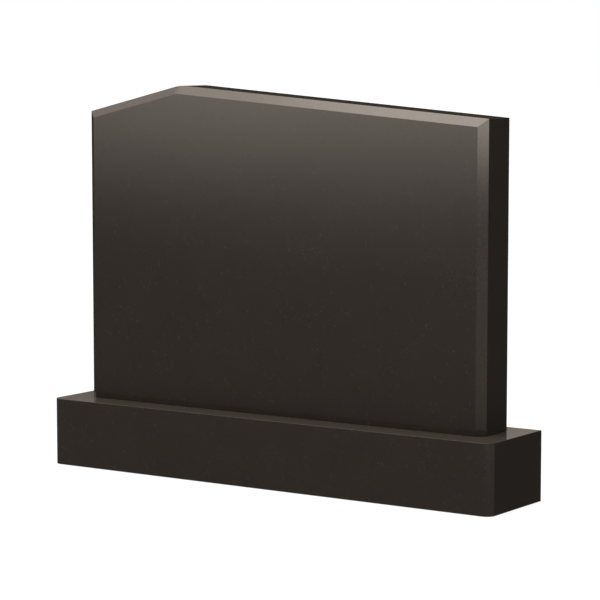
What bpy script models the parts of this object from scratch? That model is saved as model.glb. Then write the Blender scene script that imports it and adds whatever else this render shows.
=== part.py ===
"""Headstone: a polished stone tablet with a peak set off to the left, on a plain rectangular base.

Metres, +Z up. The front faces -Y and +X is to the right of someone who looks at the front. The origin is at the
middle of the base's underside. The two stones stand one on the other by their own weight.
"""

import math

import bmesh
import bpy
from mathutils import Matrix, Vector

# The tablet's front outline. Heights are measured up from the tablet's foot.
TABLET_WIDTH = 1.030
SHOULDER_HEIGHT = 0.650
PEAK_HEIGHT = 0.710
PEAK_FROM_LEFT_EDGE = 0.250
PEAK_RADIUS = 0.090

# The tablet's thickness, and the flat chamfer round the top and the sides of its front face
TABLET_THICKNESS = 0.100
CHAMFER_INSET = 0.018
CHAMFER_DEPTH = 0.015

# The base, and how far it stands out past the tablet on each side
BASE_HEIGHT = 0.150
SIDE_MARGIN = 0.055
FRONT_MARGIN = 0.065
BACK_MARGIN = 0.050
BASE_CORNER_RADIUS = 0.020

# The joint between the stones
JOINT_GAP = 0.0003

# Sizes that follow from those above
BASE_WIDTH = TABLET_WIDTH + 2 * SIDE_MARGIN
BASE_DEPTH = FRONT_MARGIN + TABLET_THICKNESS + BACK_MARGIN
TABLET_MIDDLE_Y = -BASE_DEPTH / 2 + FRONT_MARGIN + TABLET_THICKNESS / 2

# How finely the round stretches are cut, and how near two points are the same one
PEAK_SEGMENTS = 8
CORNER_SEGMENTS = 10
SAME_PLACE = 1e-5

# The stone's colour as linear RGB, and its finish
GRANITE_COLOUR = (0.018, 0.015, 0.013, 1.0)
POLISH_ROUGHNESS = 0.08


def clear_scene():
    """Remove every object that the scene holds."""
    for obj in list(bpy.data.objects):
        bpy.data.objects.remove(obj)


def new_collection(name):
    """A collection of this name in the scene."""
    collection = bpy.data.collections.new(name)
    bpy.context.scene.collection.children.link(collection)
    return collection


def polished_granite(name):
    """A dark polished granite under its own name."""
    material = bpy.data.materials.new(name)
    material.use_nodes = True
    shader = material.node_tree.nodes["Principled BSDF"]
    shader.inputs["Base Color"].default_value = GRANITE_COLOUR
    shader.inputs["Roughness"].default_value = POLISH_ROUGHNESS
    shader.inputs["Metallic"].default_value = 0.0
    return material


def rounded_corner(before, corner, after, radius, segments):
    """The arc that rounds a corner of an outline, as points from the side of before to the side of after."""
    to_before = (before - corner).normalized()
    to_after = (after - corner).normalized()
    half_angle = to_before.angle(to_after) / 2
    centre = corner + (to_before + to_after).normalized() * radius / math.sin(half_angle)
    tangent_length = radius / math.tan(half_angle)
    start = corner + to_before * tangent_length - centre
    end = corner + to_after * tangent_length - centre
    return [centre + radius * start.slerp(end, step / segments) for step in range(segments + 1)]


def tablet_outline():
    """The tablet seen from the front, as (across, up) points from its left foot over the peak to its right foot."""
    left_foot = Vector((-TABLET_WIDTH / 2, 0.0))
    right_foot = Vector((TABLET_WIDTH / 2, 0.0))
    left_shoulder = left_foot + Vector((0.0, SHOULDER_HEIGHT))
    right_shoulder = right_foot + Vector((0.0, SHOULDER_HEIGHT))
    peak = left_foot + Vector((PEAK_FROM_LEFT_EDGE, PEAK_HEIGHT))
    rounded_peak = rounded_corner(left_shoulder, peak, right_shoulder, PEAK_RADIUS, PEAK_SEGMENTS)
    return [left_foot, left_shoulder, *rounded_peak, right_shoulder, right_foot]


def slab_from_outline(name, outline, thickness):
    """A mesh object of a flat outline, as thick as said and centred on its own XY plane."""
    curve = bpy.data.curves.new(name + "_outline", "CURVE")
    curve.dimensions = "2D"
    curve.fill_mode = "BOTH"
    curve.extrude = thickness / 2
    spline = curve.splines.new("POLY")
    spline.points.add(len(outline) - 1)
    for point, (across, up) in zip(spline.points, outline):
        point.co = (across, up, 0.0, 1.0)
    spline.use_cyclic_u = True

    guide = bpy.data.objects.new(name + "_outline", curve)
    bpy.context.scene.collection.objects.link(guide)
    evaluated = guide.evaluated_get(bpy.context.evaluated_depsgraph_get())
    mesh = bpy.data.meshes.new_from_object(evaluated)
    mesh.name = name
    slab = bpy.data.objects.new(name, mesh)
    slab.matrix_world = guide.matrix_world
    bpy.data.objects.remove(guide)
    return slab


def merge_flat_faces(shape):
    """Weld a slab's caps to its edge and make each cap one flat face."""
    bmesh.ops.remove_doubles(shape, verts=shape.verts, dist=SAME_PLACE)
    bmesh.ops.dissolve_limit(
        shape, angle_limit=math.radians(0.1), verts=shape.verts, edges=shape.edges, use_dissolve_boundaries=False
    )


def chamfer_front(slab):
    """Cut the flat chamfer along the slopes and the sides of the front face, straight down to the foot.

    The slab's front is at +Z and its foot at Y = 0 in its own axes. The bevel runs as deep as it is wide, so its
    outer line is then brought forward to the chamfer's own depth.
    """
    front = TABLET_THICKNESS / 2
    shape = bmesh.new()
    shape.from_mesh(slab.data)
    merge_flat_faces(shape)
    front_edges = [edge for edge in shape.edges if all(abs(vert.co.z - front) < SAME_PLACE for vert in edge.verts)]
    chamfered = [edge for edge in front_edges if any(vert.co.y > SAME_PLACE for vert in edge.verts)]
    bmesh.ops.bevel(
        shape,
        geom=chamfered,
        offset=CHAMFER_INSET,
        offset_type="OFFSET",
        segments=1,
        profile=0.5,
        affect="EDGES",
        material=-1,
    )
    for vert in shape.verts:
        if abs(vert.co.z - (front - CHAMFER_INSET)) < SAME_PLACE:
            vert.co.z = front - CHAMFER_DEPTH
    shape.to_mesh(slab.data)
    shape.free()


def make_tablet(collection, parent):
    """The upright slab, its foot one joint gap above the base."""
    tablet = slab_from_outline("tablet", tablet_outline(), TABLET_THICKNESS)
    chamfer_front(tablet)
    tablet.location = (0.0, TABLET_MIDDLE_Y, BASE_HEIGHT + JOINT_GAP)
    tablet.rotation_euler = (math.radians(90), 0.0, 0.0)
    tablet.parent = parent
    tablet.data.materials.append(polished_granite("tablet_granite"))
    tablet.data.shade_smooth()
    tablet.data.set_sharp_from_angle(angle=math.radians(12))
    collection.objects.link(tablet)


def make_base(collection, parent):
    """The block under the tablet, with its two front upright corners rounded."""
    bpy.ops.mesh.primitive_cube_add(size=1.0)
    base = bpy.context.object
    base.name = "base"
    base.data.name = "base"
    base.data.transform(Matrix.Diagonal((BASE_WIDTH, BASE_DEPTH, BASE_HEIGHT, 1.0)))
    base.location = (0.0, 0.0, BASE_HEIGHT / 2)
    base.parent = parent

    weights = base.data.attributes.new("bevel_weight_edge", "FLOAT", "EDGE")
    for edge, weight in zip(base.data.edges, weights.data):
        foot, top = (base.data.vertices[index].co for index in edge.vertices)
        is_upright = abs(foot.x - top.x) < SAME_PLACE and abs(foot.y - top.y) < SAME_PLACE
        weight.value = 1.0 if is_upright and foot.y < 0 else 0.0
    rounding = base.modifiers.new("front_corners", "BEVEL")
    rounding.limit_method = "WEIGHT"
    rounding.offset_type = "OFFSET"
    rounding.width = BASE_CORNER_RADIUS
    rounding.segments = CORNER_SEGMENTS

    base.data.materials.append(polished_granite("base_granite"))
    base.data.shade_smooth()
    base.data.set_sharp_from_angle(angle=math.radians(30))
    for holder in list(base.users_collection):
        holder.objects.unlink(base)
    collection.objects.link(base)


def main():
    clear_scene()
    collection = new_collection("headstone")
    headstone = bpy.data.objects.new("headstone", None)
    collection.objects.link(headstone)
    make_base(collection, headstone)
    make_tablet(collection, headstone)


main()
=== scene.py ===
"""Headstone: the finished look of the polished granite tablet and its base, laid out as a Blender add-on.

Metres, +Z up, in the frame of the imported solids: the front faces -Y and the origin is at the middle of the
base's underside. Run as a script, it builds both stones, their granite and a plain studio.
"""

import math

import bmesh
import bpy
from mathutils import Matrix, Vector


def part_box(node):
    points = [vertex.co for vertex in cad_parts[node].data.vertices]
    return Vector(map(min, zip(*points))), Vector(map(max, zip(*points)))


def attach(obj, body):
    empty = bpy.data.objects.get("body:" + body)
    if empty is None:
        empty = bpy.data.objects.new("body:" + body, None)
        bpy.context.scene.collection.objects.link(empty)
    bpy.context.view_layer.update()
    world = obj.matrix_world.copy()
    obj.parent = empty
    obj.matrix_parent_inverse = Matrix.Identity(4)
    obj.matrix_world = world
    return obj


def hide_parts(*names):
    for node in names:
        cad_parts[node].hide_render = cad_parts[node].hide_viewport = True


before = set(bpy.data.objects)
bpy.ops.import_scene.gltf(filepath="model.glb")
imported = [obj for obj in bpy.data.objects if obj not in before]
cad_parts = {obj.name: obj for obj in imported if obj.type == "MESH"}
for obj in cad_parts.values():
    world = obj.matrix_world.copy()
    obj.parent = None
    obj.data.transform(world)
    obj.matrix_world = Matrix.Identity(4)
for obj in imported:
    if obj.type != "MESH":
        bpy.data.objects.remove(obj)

bl_info = {
    "name": "Headstone",
    "version": (1, 0, 0),
    "blender": (4, 5, 0),
    "location": "3D View > Sidebar > Headstone",
    "description": "Builds a polished granite headstone with an off-centre peak, in a plain studio",
    "category": "Add Mesh",
}

# How near two points are the same one, and the Z of a face's normal below which it faces straight down
SAME_PLACE = 1e-5
FACES_DOWN = -0.99

# Where shading breaks: the steps of the rounded corners turn by less, and a chamfer's edges by more
CRISP_FROM = math.radians(12)

# Only edges about as square as this are eased. A chamfer's edges turn by less and stay crisp.
SQUARE_FROM = math.radians(60)

# How strongly the largest face at a corner decides its shading: 50 is even-handed and 100 is the most
FLAT_FACE_WEIGHT = 100

# How finely the round stretches are cut. A chamfer is flat, so it takes one step.
PEAK_SEGMENTS = 12
CORNER_SEGMENTS = 18
ARRIS_SEGMENTS = 3
FLAT = 1

# Granite: its refractive index, the share of its crystals that are flecks, the share that are flecks in full
# colour, and how much its gloss varies by crystal
GRANITE_IOR = 1.54
FLECK_SHARE = 0.015
FULL_FLECK_SHARE = 0.005
GLOSS_SPREAD = 0.2

# How much finer variation the clouds and the swells carry
CLOUD_DETAIL = 3.0
CLOUD_ROUGHNESS = 0.55
SWELL_DETAIL = 1.0
SWELL_ROUGHNESS = 0.4

# The sawn beds are dull, and their saw marks wander a little. The wave texture lays this many bands in a
# metre at a scale of one.
SAWN_ROUGHNESS = 0.75
SAW_MARK_WANDER = 3.0
SAW_MARK_DETAIL = 2.0
WAVE_BANDS = 20 / (2 * math.pi)

WHITE = (1.0, 1.0, 1.0, 1.0)

# From the middle of the floor to each of its sides
FLOOR_REACH = 40.0

# The studio that the polish mirrors. A side is the X of a unit direction and a height is its Z. Where a value
# has two numbers, the first holds on the left and the second on the right, or the first low down and the
# second high up, unless a comment says otherwise.

# The strip of light along the horizon in front. At its height its light has fallen to about a third, and its
# edge is how steeply it falls there. It gets brighter and crisper to the right.
STRIP_SIDES = (-0.60, 0.80)
STRIP_RIGHT_HEIGHT = 0.0483
STRIP_POWERS = (2.55, 4.90)
STRIP_EDGE_SIDES = (-0.45, 0.80)
STRIP_RIGHT_EDGE = 4.80

# At its far left the strip is narrower, with a steeper edge, and then it fades
STRIP_LEFT_SIDES = (-0.62, -0.54)
STRIP_LEFT_HEIGHTS = (0.0477, 0.0505)
STRIP_LEFT_EDGES = (2.45, 2.05)
STRIP_LEFT_END = (-0.68, -0.57)
STRIP_LEFT_POWERS = (0.55, 1.0)

# The fill in front, under the strip. It fades as it comes nearer to the floor.
FILL_LOW_HEIGHTS = (-0.19, -0.13)
FILL_LEFT_POWERS = (0.090, 0.137)
FILL_RIGHT_POWERS = (0.20, 0.50)
FILL_HEIGHTS = (0.0, 0.10)
FILL_ABOVE_STRIP = 0.25

# The dark half of the room: which way it lies, and how squarely a direction faces it where it starts and
# where it is full. Its dusk goes out at the horizon, and above that it lifts towards the left.
DARK_WAY = (-0.292, 0.956, 0.0)
DARK_FACING = (0.27, 0.50)
DUSK_POWERS = (0.03, 0.0)
DUSK_END_HEIGHTS = (-0.02, 0.03)
DUSK_HEIGHTS = (0.124, 0.168)
LIFT_SIDES = (-0.30, 0.20)
LIFT_POWERS = (0.42, 0.05)

# The softbox overhead, 61 degrees up and 62 degrees to the left of the front, in a broad glow. Its facing is
# given at its rim and in its middle.
SOFTBOX_WAY = (-0.428, -0.228, 0.875)
SOFTBOX_FACING = (0.9958, 1.0)
SOFTBOX_POWER = 2.05
GLOW_SPREAD = 0.12
GLOW_HEIGHTS = (0.12, 0.40)
GLOW_POWER = 3.17

# What shows only to someone who looks down on the stone: a low ring of light, given in front and then
# behind, and the pale floor inside it, given near the stone and then at the ring
RING_HEIGHTS = (-0.34, -0.27)
RING_SPREADS = (0.060, 0.034)
RING_POWERS = (2.0, 1.0)
FLOOR_HEIGHTS = (-0.50, -0.205)
FLOOR_POWERS = (0.2, 0.0)

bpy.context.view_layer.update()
TABLET_LOW, TABLET_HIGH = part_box("tablet")
BASE_LOW, BASE_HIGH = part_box("base")


def linear_colour(hex_colour):
    """An sRGB colour such as "#2E2A26" as linear red, green and blue."""
    shares = [int(hex_colour[place:place + 2], 16) / 255 for place in (1, 3, 5)]
    return tuple(
        share / 12.92 if share <= 0.04045 else ((share + 0.055) / 1.055) ** 2.4
        for share in shares
    )


def colour_property(name, description, hex_colour):
    """A colour setting that shows as a swatch and starts at an sRGB hex value."""
    return bpy.props.FloatVectorProperty(
        name=name, description=description, default=linear_colour(hex_colour), min=0, max=1, size=3,
        subtype="COLOR",
    )


def length_property(name, description, metres):
    """A length setting in metres."""
    return bpy.props.FloatProperty(
        name=name, description=description, default=metres, min=0, precision=4, unit="LENGTH",
        subtype="DISTANCE",
    )


class TabletSizes(bpy.types.PropertyGroup):
    """The upright stone's outline and edges. Its width, thickness and foot come from the frame."""

    shoulder_height: length_property("Shoulder height", "From the foot to each shoulder", 0.650)
    peak_height: length_property("Peak height", "From the foot to the peak before it is rounded", 0.710)
    peak_from_left: length_property("Peak from left", "From the left edge to the peak", 0.250)
    peak_radius: length_property("Peak radius", "How softly the peak is rounded", 0.090)
    chamfer_inset: length_property("Chamfer inset", "How far it comes in across the front face", 0.018)
    chamfer_depth: length_property("Chamfer depth", "How far it runs back from the front face", 0.015)
    arris: length_property("Arris", "Width that the polisher takes off each square edge", 0.0005)


class BaseSizes(bpy.types.PropertyGroup):
    """The block under the tablet. Its length, depth and height come from the frame."""

    corner_radius: length_property("Corner radius", "Rounding of the two front upright corners", 0.020)
    arris: length_property("Arris", "Width that the polisher takes off each square edge", 0.0005)


class GraniteLook(bpy.types.PropertyGroup):
    """Polished black granite: the colours of its crystals and their size."""

    dark_crystal: colour_property("Dark crystal", "Pyroxene, most of the stone", "#211D1A")
    pale_crystal: colour_property("Pale crystal", "Feldspar laths between the dark crystals", "#2A2622")
    fleck: colour_property("Fleck", "The few grains of mica, greyer than the rest", "#2B2927")
    sawn: colour_property("Sawn face", "The stone as the saw leaves it, on the hidden beds", "#4E4B48")
    crystal_size: length_property("Crystal size", "Mean width of a crystal", 0.003)
    cloud_size: length_property("Cloud size", "Width of the faint paler and darker clouds", 0.090)
    crystal_relief: length_property("Crystal relief", "How far hard crystals are left standing", 0.000001)
    swell_size: length_property("Swell size", "Width of the swells that the grinding head leaves", 0.200)
    swell_height: length_property("Swell height", "Height of those swells", 0.00008)
    saw_mark_spacing: length_property("Saw mark spacing", "From one saw mark to the next on a bed", 0.005)
    saw_mark_depth: length_property("Saw mark depth", "Depth of a saw mark", 0.0001)
    roughness: bpy.props.FloatProperty(
        name="Roughness", description="Roughness of the polished faces", default=0.07, min=0, max=1,
        subtype="FACTOR",
    )


class StudioLook(bpy.types.PropertyGroup):
    """The floor, the soft light and the camera."""

    floor_colour: colour_property("Floor", "Colour of the table", "#3A3D40")
    floor_glow: bpy.props.FloatProperty(
        name="Floor glow", description="Light that comes up through the table", default=0.85, min=0
    )
    light_colour: colour_property("Light", "Warm tint of the soft light all round", "#FFF3E6")
    lamp_colour: colour_property("Lamp", "Neutral white of the lamp overhead", "#FFFFFF")
    lamp_power: bpy.props.FloatProperty(
        name="Lamp power", description="Strength of the lamp overhead, in watts to a square metre",
        default=14.8, min=0,
    )
    lamp_width: bpy.props.FloatProperty(
        name="Lamp width", description="How wide the lamp looks from the stone", default=math.radians(30),
        subtype="ANGLE",
    )
    lamp_forward: bpy.props.FloatProperty(
        name="Lamp forward", description="How far the lamp leans from overhead to the front",
        default=math.radians(4.1), subtype="ANGLE",
    )
    lamp_left: bpy.props.FloatProperty(
        name="Lamp left", description="How far the lamp leans from overhead to the left",
        default=math.radians(2.5), subtype="ANGLE",
    )
    focal_length: bpy.props.FloatProperty(
        name="Focal length", description="Lens of the camera, in millimetres", default=145.0, min=1
    )
    camera_place: bpy.props.FloatVectorProperty(
        name="Camera place", description="Where the camera stands", subtype="XYZ", unit="LENGTH", size=3,
        default=(2.938, -4.304, 0.951),
    )
    camera_turn: bpy.props.FloatProperty(
        name="Camera turn", description="How far the camera is turned to its left of the front",
        default=math.radians(34.0), subtype="ANGLE",
    )
    camera_tilt: bpy.props.FloatProperty(
        name="Camera tilt", description="How far the camera looks down", default=math.radians(6.05),
        subtype="ANGLE",
    )


def add_node(tree, kind, inputs=None, **settings):
    """Add a shader node with its settings. Each input takes a value, or a link from another node's output."""
    node = tree.nodes.new("ShaderNode" + kind)
    for name, value in settings.items():
        setattr(node, name, value)
    for name, value in (inputs or {}).items():
        if isinstance(value, bpy.types.NodeSocket):
            tree.links.new(value, node.inputs[name])
        else:
            node.inputs[name].default_value = value
    return node


def new_tree(owner):
    """The emptied node tree of a material or a world."""
    owner.use_nodes = True
    owner.node_tree.nodes.clear()
    return owner.node_tree


def opaque(colour):
    """A colour with full alpha, as a node's socket takes it."""
    return (*colour, 1.0)


def polished_granite(look):
    """Polished black granite, a fine-grained gabbro that was sawn, ground and buffed to a mirror.

    The eye sees mostly what the faces mirror. Under that lies a near-black ground of dark crystals with paler
    laths between them, a few small flecks, and faint clouds a hand's breadth wide. The real crystals, about
    1.5 mm, are too fine to show from where the camera stands, so they are drawn twice as wide.
    """
    material = bpy.data.materials.new("polished_black_granite")
    tree = new_tree(material)
    place = add_node(tree, "TexCoord").outputs["Object"]

    crystals = add_node(
        tree, "TexVoronoi", {"Vector": place, "Scale": 1 / look.crystal_size, "Randomness": 1.0}
    )
    tones = add_node(tree, "SeparateColor", {"Color": crystals.outputs["Color"]})
    clouds = add_node(
        tree, "TexNoise",
        {
            "Vector": place,
            "Scale": 1 / look.cloud_size,
            "Detail": CLOUD_DETAIL,
            "Roughness": CLOUD_ROUGHNESS,
        },
    )
    paleness = add_node(
        tree, "Math", {0: tones.outputs["Red"], 1: clouds.outputs["Fac"]}, operation="MULTIPLY"
    )
    grain = add_node(
        tree, "Mix",
        {
            "Factor": paleness.outputs["Value"],
            "A": opaque(look.dark_crystal),
            "B": opaque(look.pale_crystal),
        },
        data_type="RGBA",
    )
    is_fleck = add_node(
        tree, "MapRange",
        {
            "Value": tones.outputs["Green"],
            "From Min": 1 - FLECK_SHARE,
            "From Max": 1 - FULL_FLECK_SHARE,
        },
        interpolation_type="SMOOTHSTEP",
    )
    colour = add_node(
        tree, "Mix",
        {
            "Factor": is_fleck.outputs["Result"],
            "A": grain.outputs["Result"],
            "B": opaque(look.fleck),
        },
        data_type="RGBA",
    )
    polish = add_node(
        tree, "MapRange",
        {
            "Value": tones.outputs["Blue"],
            "To Min": look.roughness * (1 - GLOSS_SPREAD),
            "To Max": look.roughness * (1 + GLOSS_SPREAD),
        },
    )
    swell = add_node(
        tree, "TexNoise",
        {
            "Vector": place,
            "Scale": 1 / look.swell_size,
            "Detail": SWELL_DETAIL,
            "Roughness": SWELL_ROUGHNESS,
        },
    )
    swell_relief = add_node(
        tree, "Bump", {"Height": swell.outputs["Fac"], "Strength": 1.0, "Distance": look.swell_height}
    )
    crystal_relief = add_node(
        tree, "Bump",
        {
            "Height": tones.outputs["Blue"],
            "Normal": swell_relief.outputs["Normal"],
            "Strength": 1.0,
            "Distance": look.crystal_relief,
        },
    )
    shader = add_node(
        tree, "BsdfPrincipled",
        {
            "Base Color": colour.outputs["Result"],
            "Roughness": polish.outputs["Result"],
            "Normal": crystal_relief.outputs["Normal"],
            "IOR": GRANITE_IOR,
            "Metallic": 0.0,
        },
    )
    add_node(tree, "OutputMaterial", {"Surface": shader.outputs["BSDF"]})
    return material


def sawn_granite(look):
    """The same granite as the saw leaves it, on the two hidden beds: greyer and dull, with darker marks."""
    material = bpy.data.materials.new("sawn_black_granite")
    tree = new_tree(material)
    place = add_node(tree, "TexCoord").outputs["Object"]
    saw_marks = add_node(
        tree, "TexWave",
        {
            "Vector": place,
            "Scale": 1 / (look.saw_mark_spacing * WAVE_BANDS),
            "Distortion": SAW_MARK_WANDER,
            "Detail": SAW_MARK_DETAIL,
        },
        wave_type="BANDS", bands_direction="X",
    )
    colour = add_node(
        tree, "Mix", {"Factor": saw_marks.outputs["Fac"], "A": opaque(look.sawn), "B": opaque(look.fleck)},
        data_type="RGBA",
    )
    relief = add_node(
        tree, "Bump", {"Height": saw_marks.outputs["Fac"], "Strength": 1.0, "Distance": look.saw_mark_depth}
    )
    shader = add_node(
        tree, "BsdfPrincipled",
        {
            "Base Color": colour.outputs["Result"],
            "Normal": relief.outputs["Normal"],
            "Roughness": SAWN_ROUGHNESS,
            "IOR": GRANITE_IOR,
            "Metallic": 0.0,
        },
    )
    add_node(tree, "OutputMaterial", {"Surface": shader.outputs["BSDF"]})
    return material


def granite_materials(look):
    """The polished and the sawn granite, made once and shared by both stones."""
    polished = bpy.data.materials.get("polished_black_granite") or polished_granite(look)
    sawn = bpy.data.materials.get("sawn_black_granite") or sawn_granite(look)
    return [polished, sawn]


def bevel_edges(shape, edges, width, segments):
    """Bevel some edges of a shape, flat with one segment and round with more."""
    bmesh.ops.bevel(
        shape, geom=edges, offset=width, offset_type="OFFSET", segments=segments, profile=0.5,
        affect="EDGES", material=-1, clamp_overlap=True,
    )


def ease_arrises(shape, width):
    """Take the sharpness off the square edges, as a polisher's pad does. A chamfer's edges stay crisp."""
    square = [edge for edge in shape.edges if edge.calc_face_angle(0.0) > SQUARE_FROM]
    bevel_edges(shape, square, width, ARRIS_SEGMENTS)


def finish_stone(name, shape, node, materials, bed_height):
    """Make a shape the piece that stands for a CAD node, its bed sawn and all its other faces polished."""
    for edge in shape.edges:
        edge.smooth = edge.calc_face_angle(0.0) < CRISP_FROM
    for face in shape.faces:
        face.smooth = True
        is_bed = face.normal.z < FACES_DOWN and face.calc_center_median().z < bed_height
        face.material_index = 1 if is_bed else 0
    mesh = bpy.data.meshes.new(name)
    shape.to_mesh(mesh)
    shape.free()
    stone = bpy.data.objects.new(name, mesh)
    bpy.context.scene.collection.objects.link(stone)
    for material in materials:
        mesh.materials.append(material)
    flatten = stone.modifiers.new("flat_faces_stay_flat", "WEIGHTED_NORMAL")
    flatten.mode = "FACE_AREA"
    flatten.weight = FLAT_FACE_WEIGHT
    flatten.keep_sharp = True
    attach(stone, "root")
    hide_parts(node)


def rounded_corner(before, corner, after, radius, segments):
    """The points of the arc that rounds a corner, from the side of before to the side of after."""
    to_before = (before - corner).normalized()
    to_after = (after - corner).normalized()
    half_angle = to_before.angle(to_after) / 2
    centre = corner + (to_before + to_after).normalized() * radius / math.sin(half_angle)
    start = corner + to_before * radius / math.tan(half_angle) - centre
    end = corner + to_after * radius / math.tan(half_angle) - centre
    return [centre + radius * start.slerp(end, step / segments) for step in range(segments + 1)]


def tablet_outline(sizes):
    """The tablet's back face from its left foot over the peak to its right foot, where the frame has it."""
    left_foot = Vector((TABLET_LOW.x, TABLET_HIGH.y, TABLET_LOW.z))
    right_foot = Vector((TABLET_HIGH.x, TABLET_HIGH.y, TABLET_LOW.z))
    left_shoulder = left_foot + Vector((0, 0, sizes.shoulder_height))
    right_shoulder = right_foot + Vector((0, 0, sizes.shoulder_height))
    peak = left_foot + Vector((sizes.peak_from_left, 0, sizes.peak_height))
    rounded_peak = rounded_corner(left_shoulder, peak, right_shoulder, sizes.peak_radius, PEAK_SEGMENTS)
    return [left_foot, left_shoulder, *rounded_peak, right_shoulder, right_foot]


class HEADSTONE_OT_tablet(bpy.types.Operator):
    """Model the upright tablet with its chamfered front and its off-centre peak"""

    bl_idname = "headstone.tablet"
    bl_label = "Tablet"

    def execute(self, context):
        sizes = context.scene.headstone_tablet
        shape = bmesh.new()
        back = shape.faces.new([shape.verts.new(point) for point in tablet_outline(sizes)])
        pulled = bmesh.ops.extrude_face_region(shape, geom=[back])
        front_verts = [item for item in pulled["geom"] if isinstance(item, bmesh.types.BMVert)]
        bmesh.ops.translate(shape, verts=front_verts, vec=(0, TABLET_LOW.y - TABLET_HIGH.y, 0))
        bmesh.ops.recalc_face_normals(shape, faces=shape.faces)

        front_edges = [edge for edge in shape.edges if all(vert in front_verts for vert in edge.verts)]
        above_foot = TABLET_LOW.z + SAME_PLACE
        chamfered = [edge for edge in front_edges if any(vert.co.z > above_foot for vert in edge.verts)]
        bevel_edges(shape, chamfered, sizes.chamfer_inset, FLAT)
        for vert in shape.verts:
            if abs(vert.co.y - (TABLET_LOW.y + sizes.chamfer_inset)) < SAME_PLACE:
                vert.co.y = TABLET_LOW.y + sizes.chamfer_depth

        ease_arrises(shape, sizes.arris)
        materials = granite_materials(context.scene.headstone_granite)
        finish_stone("upright_tablet", shape, "tablet", materials, TABLET_LOW.z + sizes.arris)
        return {"FINISHED"}


class HEADSTONE_OT_base(bpy.types.Operator):
    """Model the base block with its two rounded front corners"""

    bl_idname = "headstone.base"
    bl_label = "Base"

    def execute(self, context):
        sizes = context.scene.headstone_base
        shape = bmesh.new()
        bmesh.ops.create_cube(shape, size=1)
        bmesh.ops.scale(shape, verts=shape.verts, vec=BASE_HIGH - BASE_LOW)
        bmesh.ops.translate(shape, verts=shape.verts, vec=(BASE_LOW + BASE_HIGH) / 2)

        def is_front_upright(edge):
            foot, top = (vert.co for vert in edge.verts)
            return abs(foot.z - top.z) > SAME_PLACE and foot.y < 0

        front_uprights = [edge for edge in shape.edges if is_front_upright(edge)]
        bevel_edges(shape, front_uprights, sizes.corner_radius, CORNER_SEGMENTS)
        ease_arrises(shape, sizes.arris)
        materials = granite_materials(context.scene.headstone_granite)
        finish_stone("base_block", shape, "base", materials, BASE_LOW.z + sizes.arris)
        return {"FINISHED"}


def make_floor(look):
    """A wide light table of white acrylic, lit from below as well, so that the shadow on it stays faint.

    The polish doesn't mirror it. What the faces show instead comes from the world.
    """
    shape = bmesh.new()
    bmesh.ops.create_grid(shape, x_segments=1, y_segments=1, size=FLOOR_REACH)
    mesh = bpy.data.meshes.new("floor")
    shape.to_mesh(mesh)
    shape.free()
    floor = bpy.data.objects.new("floor", mesh)
    bpy.context.scene.collection.objects.link(floor)
    floor.visible_glossy = False

    material = bpy.data.materials.new("white_acrylic")
    tree = new_tree(material)
    shader = add_node(
        tree, "BsdfPrincipled",
        {
            "Base Color": opaque(look.floor_colour),
            "Roughness": 1.0,
            "Specular IOR Level": 0.0,
            "Metallic": 0.0,
            "Emission Color": WHITE,
            "Emission Strength": look.floor_glow,
        },
    )
    add_node(tree, "OutputMaterial", {"Surface": shader.outputs["BSDF"]})
    mesh.materials.append(material)


def make_lamp(look):
    """A soft lamp far overhead. It lights the tops of both stones, and the polish doesn't mirror it."""
    light = bpy.data.lights.new("high_lamp", "SUN")
    light.angle = look.lamp_width
    light.energy = look.lamp_power
    light.color = look.lamp_colour
    lamp = bpy.data.objects.new("high_lamp", light)
    bpy.context.scene.collection.objects.link(lamp)
    lamp.rotation_euler = (look.lamp_forward, -look.lamp_left, 0)
    lamp.visible_glossy = False


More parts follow.
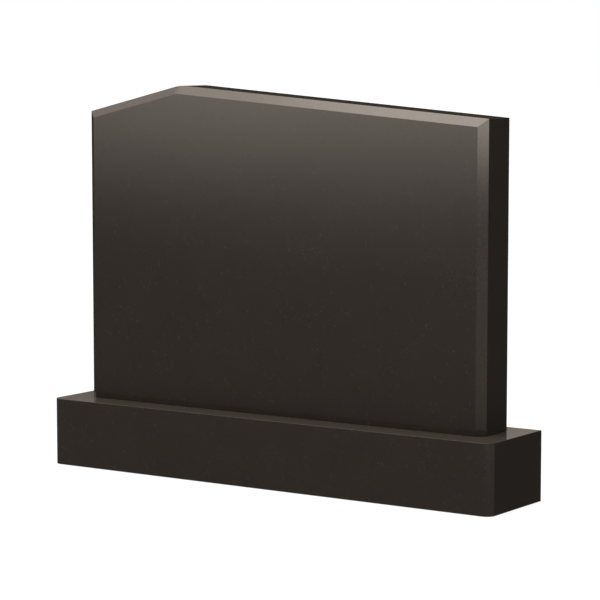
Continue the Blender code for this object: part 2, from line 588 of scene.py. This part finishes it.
def strip_light(tree, side, height):
    """The strip of light along the horizon in front, softer to the left and brighter to the right."""
    left_height = add_node(
        tree, "MapRange",
        {
            "Value": side,
            "From Min": STRIP_LEFT_SIDES[0],
            "From Max": STRIP_LEFT_SIDES[1],
            "To Min": STRIP_LEFT_HEIGHTS[0],
            "To Max": STRIP_LEFT_HEIGHTS[1],
        },
    ).outputs["Result"]
    strip_height = add_node(
        tree, "MapRange",
        {
            "Value": side,
            "From Min": STRIP_SIDES[0],
            "From Max": STRIP_SIDES[1],
            "To Min": left_height,
            "To Max": STRIP_RIGHT_HEIGHT,
        },
    ).outputs["Result"]
    strip_power = add_node(
        tree, "MapRange",
        {
            "Value": side,
            "From Min": STRIP_SIDES[0],
            "From Max": STRIP_SIDES[1],
            "To Min": STRIP_POWERS[0],
            "To Max": STRIP_POWERS[1],
        },
    ).outputs["Result"]
    left_edge = add_node(
        tree, "MapRange",
        {
            "Value": side,
            "From Min": STRIP_LEFT_SIDES[0],
            "From Max": STRIP_LEFT_SIDES[1],
            "To Min": STRIP_LEFT_EDGES[0],
            "To Max": STRIP_LEFT_EDGES[1],
        },
    ).outputs["Result"]
    strip_edge = add_node(
        tree, "MapRange",
        {
            "Value": side,
            "From Min": STRIP_EDGE_SIDES[0],
            "From Max": STRIP_EDGE_SIDES[1],
            "To Min": left_edge,
            "To Max": STRIP_RIGHT_EDGE,
        },
    ).outputs["Result"]
    left_end = add_node(
        tree, "MapRange",
        {
            "Value": side,
            "From Min": STRIP_LEFT_END[0],
            "From Max": STRIP_LEFT_END[1],
            "To Min": STRIP_LEFT_POWERS[0],
            "To Max": STRIP_LEFT_POWERS[1],
        },
        interpolation_type="SMOOTHSTEP",
    ).outputs["Result"]
    off_strip = add_node(tree, "Math", {0: height, 1: strip_height}, operation="DIVIDE").outputs["Value"]
    off_either_way = add_node(tree, "Math", {0: off_strip}, operation="ABSOLUTE").outputs["Value"]
    steepened = add_node(
        tree, "Math", {0: off_either_way, 1: strip_edge}, operation="POWER"
    ).outputs["Value"]
    downwards = add_node(tree, "Math", {0: steepened, 1: -1.0}, operation="MULTIPLY").outputs["Value"]
    bell = add_node(tree, "Math", {0: downwards}, operation="EXPONENT").outputs["Value"]
    ended_bell = add_node(tree, "Math", {0: bell, 1: left_end}, operation="MULTIPLY").outputs["Value"]
    return add_node(tree, "Math", {0: ended_bell, 1: strip_power}, operation="MULTIPLY").outputs["Value"]


def fill_light(tree, side, height):
    """The dim fill in front, under the strip. It fades towards the floor, and little of it shows above."""
    fill_on_left = add_node(
        tree, "MapRange",
        {
            "Value": height,
            "From Min": FILL_LOW_HEIGHTS[0],
            "From Max": FILL_LOW_HEIGHTS[1],
            "To Min": FILL_LEFT_POWERS[0],
            "To Max": FILL_LEFT_POWERS[1],
        },
        interpolation_type="SMOOTHSTEP",
    ).outputs["Result"]
    fill_on_right = add_node(
        tree, "MapRange",
        {
            "Value": height,
            "From Min": FILL_LOW_HEIGHTS[0],
            "From Max": FILL_LOW_HEIGHTS[1],
            "To Min": FILL_RIGHT_POWERS[0],
            "To Max": FILL_RIGHT_POWERS[1],
        },
        interpolation_type="SMOOTHSTEP",
    ).outputs["Result"]
    fill_across = add_node(
        tree, "MapRange",
        {
            "Value": side,
            "From Min": STRIP_SIDES[0],
            "From Max": STRIP_SIDES[1],
            "To Min": fill_on_left,
            "To Max": fill_on_right,
        },
    ).outputs["Result"]
    fill_share = add_node(
        tree, "MapRange",
        {
            "Value": height,
            "From Min": FILL_HEIGHTS[0],
            "From Max": FILL_HEIGHTS[1],
            "To Min": 1.0,
            "To Max": FILL_ABOVE_STRIP,
        },
        interpolation_type="SMOOTHSTEP",
    ).outputs["Result"]
    return add_node(tree, "Math", {0: fill_across, 1: fill_share}, operation="MULTIPLY").outputs["Value"]


def dusk_light(tree, side, height):
    """The dark half of the room: dusk that goes out at the horizon, and a lift above it to the left."""
    lift = add_node(
        tree, "MapRange",
        {
            "Value": side,
            "From Min": LIFT_SIDES[0],
            "From Max": LIFT_SIDES[1],
            "To Min": LIFT_POWERS[0],
            "To Max": LIFT_POWERS[1],
        },
        interpolation_type="SMOOTHSTEP",
    ).outputs["Result"]
    low_dusk = add_node(
        tree, "MapRange",
        {
            "Value": height,
            "From Min": DUSK_END_HEIGHTS[0],
            "From Max": DUSK_END_HEIGHTS[1],
            "To Min": DUSK_POWERS[0],
            "To Max": DUSK_POWERS[1],
        },
        interpolation_type="SMOOTHSTEP",
    ).outputs["Result"]
    return add_node(
        tree, "MapRange",
        {
            "Value": height,
            "From Min": DUSK_HEIGHTS[0],
            "From Max": DUSK_HEIGHTS[1],
            "To Min": low_dusk,
            "To Max": lift,
        },
        interpolation_type="SMOOTHSTEP",
    ).outputs["Result"]


def overhead_light(tree, direction, height):
    """The softbox overhead to the left, in its broad glow."""
    facing_softbox = add_node(
        tree, "VectorMath", {0: direction, 1: SOFTBOX_WAY}, operation="DOT_PRODUCT"
    ).outputs["Value"]
    softbox = add_node(
        tree, "MapRange",
        {
            "Value": facing_softbox,
            "From Min": SOFTBOX_FACING[0],
            "From Max": SOFTBOX_FACING[1],
            "To Min": 0.0,
            "To Max": SOFTBOX_POWER,
        },
    ).outputs["Result"]
    off_softbox = add_node(tree, "Math", {0: facing_softbox, 1: 1.0}, operation="SUBTRACT").outputs["Value"]
    spread = add_node(tree, "Math", {0: off_softbox, 1: GLOW_SPREAD}, operation="DIVIDE").outputs["Value"]
    halo = add_node(tree, "Math", {0: spread}, operation="EXPONENT").outputs["Value"]
    glow_power = add_node(
        tree, "MapRange",
        {
            "Value": height,
            "From Min": GLOW_HEIGHTS[0],
            "From Max": GLOW_HEIGHTS[1],
            "To Min": 0.0,
            "To Max": GLOW_POWER,
        },
        interpolation_type="SMOOTHSTEP",
    ).outputs["Result"]
    glow = add_node(tree, "Math", {0: halo, 1: glow_power}, operation="MULTIPLY").outputs["Value"]
    return add_node(tree, "Math", {0: glow, 1: softbox}, operation="ADD").outputs["Value"]


def low_light(tree, height, darkness):
    """The low ring of light and the pale floor inside it."""
    ring_height = add_node(
        tree, "MapRange", {"Value": darkness, "To Min": RING_HEIGHTS[0], "To Max": RING_HEIGHTS[1]}
    ).outputs["Result"]
    ring_spread = add_node(
        tree, "MapRange", {"Value": darkness, "To Min": RING_SPREADS[0], "To Max": RING_SPREADS[1]}
    ).outputs["Result"]
    ring_power = add_node(
        tree, "MapRange", {"Value": darkness, "To Min": RING_POWERS[0], "To Max": RING_POWERS[1]}
    ).outputs["Result"]
    above_ring = add_node(tree, "Math", {0: height, 1: ring_height}, operation="SUBTRACT").outputs["Value"]
    off_ring = add_node(tree, "Math", {0: above_ring, 1: ring_spread}, operation="DIVIDE").outputs["Value"]
    off_ring_squared = add_node(
        tree, "Math", {0: off_ring, 1: off_ring}, operation="MULTIPLY"
    ).outputs["Value"]
    ring_fall = add_node(
        tree, "Math", {0: off_ring_squared, 1: -1.0}, operation="MULTIPLY"
    ).outputs["Value"]
    ring_bell = add_node(tree, "Math", {0: ring_fall}, operation="EXPONENT").outputs["Value"]
    ring = add_node(tree, "Math", {0: ring_bell, 1: ring_power}, operation="MULTIPLY").outputs["Value"]
    pale_floor = add_node(
        tree, "MapRange",
        {
            "Value": height,
            "From Min": FLOOR_HEIGHTS[0],
            "From Max": FLOOR_HEIGHTS[1],
            "To Min": FLOOR_POWERS[0],
            "To Max": FLOOR_POWERS[1],
        },
    ).outputs["Result"]
    return add_node(tree, "Math", {0: ring, 1: pale_floor}, operation="ADD").outputs["Value"]


def make_world(look):
    """Soft light from all round, as the polish mirrors it.

    In front a long strip of light lies along the horizon over a dim fill. Behind, dusk goes out at the
    horizon and lifts higher up on the left. A softbox hangs overhead to the left in a broad glow. Someone who
    looks down on the stone sees a low ring of light and a pale floor in it. The camera sees plain white past
    the floor.
    """
    world = bpy.data.worlds.new("studio")
    bpy.context.scene.world = world
    tree = new_tree(world)
    direction = add_node(tree, "TexCoord").outputs["Generated"]
    axes = add_node(tree, "SeparateXYZ", {"Vector": direction}).outputs
    side = axes["X"]
    height = axes["Z"]

    facing_dark = add_node(
        tree, "VectorMath", {0: direction, 1: DARK_WAY}, operation="DOT_PRODUCT"
    ).outputs["Value"]
    darkness = add_node(
        tree, "MapRange", {"Value": facing_dark, "From Min": DARK_FACING[0], "From Max": DARK_FACING[1]},
        interpolation_type="SMOOTHSTEP",
    ).outputs["Result"]
    strip = strip_light(tree, side, height)
    fill = fill_light(tree, side, height)
    front = add_node(tree, "Math", {0: strip, 1: fill}, operation="ADD").outputs["Value"]
    dusk = dusk_light(tree, side, height)
    around = add_node(tree, "Mix", {"Factor": darkness, "A": front, "B": dusk}).outputs["Result"]

    overhead = overhead_light(tree, direction, height)
    underneath = low_light(tree, height, darkness)
    level = add_node(tree, "Math", {0: around, 1: overhead}, operation="ADD").outputs["Value"]
    total = add_node(tree, "Math", {0: level, 1: underneath}, operation="ADD").outputs["Value"]
    studio = add_node(tree, "Background", {"Color": opaque(look.light_colour), "Strength": total})
    backdrop = add_node(tree, "Background", {"Color": WHITE, "Strength": 1.0})
    seen = add_node(tree, "LightPath").outputs["Is Camera Ray"]
    either = add_node(
        tree, "MixShader", {0: seen, 1: studio.outputs["Background"], 2: backdrop.outputs["Background"]}
    )
    add_node(tree, "OutputWorld", {"Surface": either.outputs["Shader"]})


def make_camera(look):
    """The camera, to the right of the stone and a little above its peak."""
    camera = bpy.data.objects.new("camera", bpy.data.cameras.new("camera"))
    bpy.context.scene.collection.objects.link(camera)
    camera.data.lens = look.focal_length
    camera.location = look.camera_place
    camera.rotation_euler = (math.radians(90) - look.camera_tilt, 0, look.camera_turn)
    bpy.context.scene.camera = camera


class HEADSTONE_OT_stage(bpy.types.Operator):
    """Set the plain pale floor, the soft studio light and the camera"""

    bl_idname = "headstone.stage"
    bl_label = "Stage"

    def execute(self, context):
        look = context.scene.headstone_studio
        make_floor(look)
        make_lamp(look)
        make_world(look)
        make_camera(look)
        context.scene.view_settings.view_transform = "Standard"
        return {"FINISHED"}


class HEADSTONE_PT_panel(bpy.types.Panel):
    """The headstone's sizes, colours and builders"""

    bl_idname = "HEADSTONE_PT_panel"
    bl_label = "Headstone"
    bl_space_type = "VIEW_3D"
    bl_region_type = "UI"
    bl_category = "Headstone"

    def draw(self, context):
        for title, group_name, operator in SECTIONS:
            box = self.layout.box()
            box.label(text=title)
            group = getattr(context.scene, group_name)
            for name in group.__annotations__:
                box.prop(group, name)
            if operator:
                box.operator(operator)


SECTIONS = [
    ("Tablet", "headstone_tablet", "headstone.tablet"),
    ("Base", "headstone_base", "headstone.base"),
    ("Granite", "headstone_granite", None),
    ("Studio", "headstone_studio", "headstone.stage"),
]
GROUPS = {
    "headstone_tablet": TabletSizes,
    "headstone_base": BaseSizes,
    "headstone_granite": GraniteLook,
    "headstone_studio": StudioLook,
}
CLASSES = [*GROUPS.values(), HEADSTONE_OT_tablet, HEADSTONE_OT_base, HEADSTONE_OT_stage, HEADSTONE_PT_panel]


def register():
    """Register the classes and hang their settings on the scene."""
    for cls in CLASSES:
        bpy.utils.register_class(cls)
    for name, group in GROUPS.items():
        setattr(bpy.types.Scene, name, bpy.props.PointerProperty(type=group))


def unregister():
    """Take the settings and the classes away again."""
    for name in GROUPS:
        delattr(bpy.types.Scene, name)
    for cls in reversed(CLASSES):
        bpy.utils.unregister_class(cls)


def main():
    """Build both stones and the stage."""
    register()
    bpy.ops.headstone.tablet()
    bpy.ops.headstone.base()
    bpy.ops.headstone.stage()


if __name__ == "__main__":
    main()
